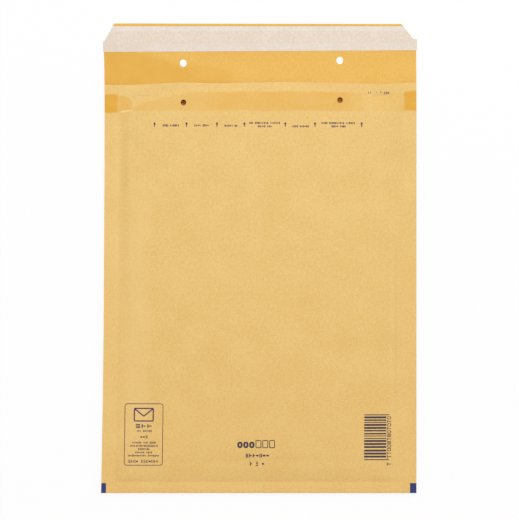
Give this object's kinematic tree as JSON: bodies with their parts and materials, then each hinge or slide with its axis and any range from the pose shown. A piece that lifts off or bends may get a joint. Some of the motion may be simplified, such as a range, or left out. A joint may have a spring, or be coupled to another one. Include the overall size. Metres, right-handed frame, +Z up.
{
  "type": "padded envelope",
  "caption": "Kraft paper mailing envelope lined with bubble film, lying flat with its flap unfolded and the peel-off strip still over its adhesive.",
  "frame": {"origin": "centre of the outline, at the height of the table that the back panel lies on", "axes": "+X across the envelope to the right of its front panel, +Y from the bottom fold to the flap, +Z up out of the front panel"},
  "size_m": [0.2512, 0.376, 0.0119],
  "materials": {
    "kraft_paper": "matte",
    "bubble_film": "gloss",
    "hot_melt": "satin",
    "tacky_adhesive": "gloss",
    "silicone_paper": "satin"
  },
  "bodies": {
    "root": {"kraft_cover": "kraft_paper", "bubble_liner": "bubble_film", "front_glue_band": "hot_melt", "back_glue_band": "hot_melt", "adhesive_strip": "tacky_adhesive", "release_liner": "silicone_paper"}
  },
  "joints": []
}
